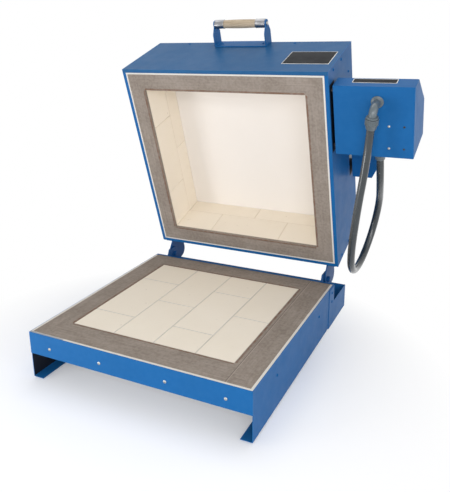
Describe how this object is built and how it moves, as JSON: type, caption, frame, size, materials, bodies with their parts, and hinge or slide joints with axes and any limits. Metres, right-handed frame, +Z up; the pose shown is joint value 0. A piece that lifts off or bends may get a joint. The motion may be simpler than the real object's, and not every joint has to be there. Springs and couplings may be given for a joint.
{
  "type": "clamshell glass fusing kiln",
  "caption": "Square clamshell glass kiln: brick floor on a folded steel base, deep brick-lined lid on rear hinges, control box with a looping conduit.",
  "frame": {"origin": "centre of the outline at floor level, lid open, conduit left out of the outline", "axes": "+X to the right with the control box on that side, +Y from the open front towards the hinges, +Z up"},
  "size_m": [0.8116, 0.86, 0.8747],
  "materials": {
    "blue_paint": "satin",
    "hinge_paint": "satin",
    "fascia_paint": "matte",
    "bare_steel": "satin",
    "screw_steel": "satin",
    "bolt_steel": "satin",
    "fibre": "matte",
    "rim_board": "matte",
    "floor_brick": "matte",
    "wall_brick": "matte",
    "roof_board": "matte",
    "blanket": "matte",
    "foot_rubber": "matte",
    "element_alloy": "matte",
    "terminal_steel": "satin",
    "bushing_ceramic": "satin",
    "sensor_alloy": "satin",
    "handle_steel": "satin",
    "ferrule_steel": "polished",
    "grip_wood": "satin",
    "rod_steel": "satin",
    "black_plate": "gloss",
    "silver_plate": "satin",
    "relay_plastic": "matte",
    "window_plastic": "gloss",
    "board_laminate": "matte",
    "black_plastic": "satin",
    "key_rubber": "matte",
    "rocker_plastic": "gloss",
    "fitting_plastic": "satin",
    "conduit_plastic": "satin"
  },
  "bodies": {
    "base": {"base_left_panel": "blue_paint", "base_right_panel": "blue_paint", "base_front_panel": "blue_paint", "base_back_panel": "blue_paint", "base_pan": "bare_steel", "base_fibre": "fibre", "base_rim_strips": "rim_board", "floor_bricks": "floor_brick", "rear_stand": "blue_paint", "feet": "foot_rubber", "hinge_bracket_left": "hinge_paint", "hinge_bracket_right": "hinge_paint", "base_screws": "screw_steel", "hinge_pins": "bolt_steel", "hinge_nuts": "bolt_steel", "lid_stops": "bolt_steel", "bracket_bolts": "bolt_steel"},
    "lid": {"hinge_arm_left": "hinge_paint", "hinge_arm_right": "hinge_paint", "lid_front_panel": "blue_paint", "lid_back_panel": "blue_paint", "lid_left_panel": "blue_paint", "lid_right_panel": "blue_paint", "lid_roof_panel": "blue_paint", "lid_fibre": "fibre", "lid_rim_strips": "rim_board", "lid_bricks": "wall_brick", "lid_roof_blanket": "blanket", "arm_bolts": "bolt_steel", "lid_roof_board": "roof_board", "heating_element": "element_alloy", "terminal_rods": "terminal_steel", "terminal_bushings": "bushing_ceramic", "thermocouple": "sensor_alloy", "handle_bracket": "handle_steel", "handle_ferrules": "ferrule_steel", "handle_grip": "grip_wood", "handle_rod": "rod_steel", "lid_screws": "screw_steel", "lid_blank_plate": "black_plate", "control_blank_plate": "silver_plate", "power_relay": "relay_plastic", "case_spacers": "bolt_steel", "terminal_cover": "blue_paint", "terminal_plate": "bare_steel", "control_case": "blue_paint", "control_end_panel": "blue_paint", "control_fascia": "fascia_paint", "display_window": "window_plastic", "control_board": "board_laminate", "switch_frame": "black_plastic", "fuse_holder": "black_plastic", "elbow_fitting": "fitting_plastic", "gland_fitting": "fitting_plastic", "conduit_nuts": "fitting_plastic", "conduit": "conduit_plastic"},
    "key_1": {"key_1": "key_rubber"},
    "key_2": {"key_2": "key_rubber"},
    "key_3": {"key_3": "key_rubber"},
    "rocker": {"power_rocker": "rocker_plastic"}
  },
  "joints": [
    {"name": "lid_hinge", "type": "hinge", "parent": "base", "child": "lid", "pos_m": [-0.10015, 0.22142, 0.1215], "axis": [1, 0, 0], "range_deg": [0, 72]},
    {"name": "key_1_press", "type": "slide", "parent": "lid", "child": "key_1", "axis": [0, -0.4341, -0.9009], "range_m": [0, 0.001], "stiffness_N_per_m": 300, "springref_m": -0.0005},
    {"name": "key_2_press", "type": "slide", "parent": "lid", "child": "key_2", "axis": [0, -0.4341, -0.9009], "range_m": [0, 0.001], "stiffness_N_per_m": 300, "springref_m": -0.0005},
    {"name": "key_3_press", "type": "slide", "parent": "lid", "child": "key_3", "axis": [0, -0.4341, -0.9009], "range_m": [0, 0.001], "stiffness_N_per_m": 300, "springref_m": -0.0005},
    {"name": "power_switch", "type": "hinge", "parent": "lid", "child": "rocker", "pos_m": [0.37185, 0.14084, 0.69895], "axis": [1, 0, 0], "range_deg": [-18, 0]}
  ]
}
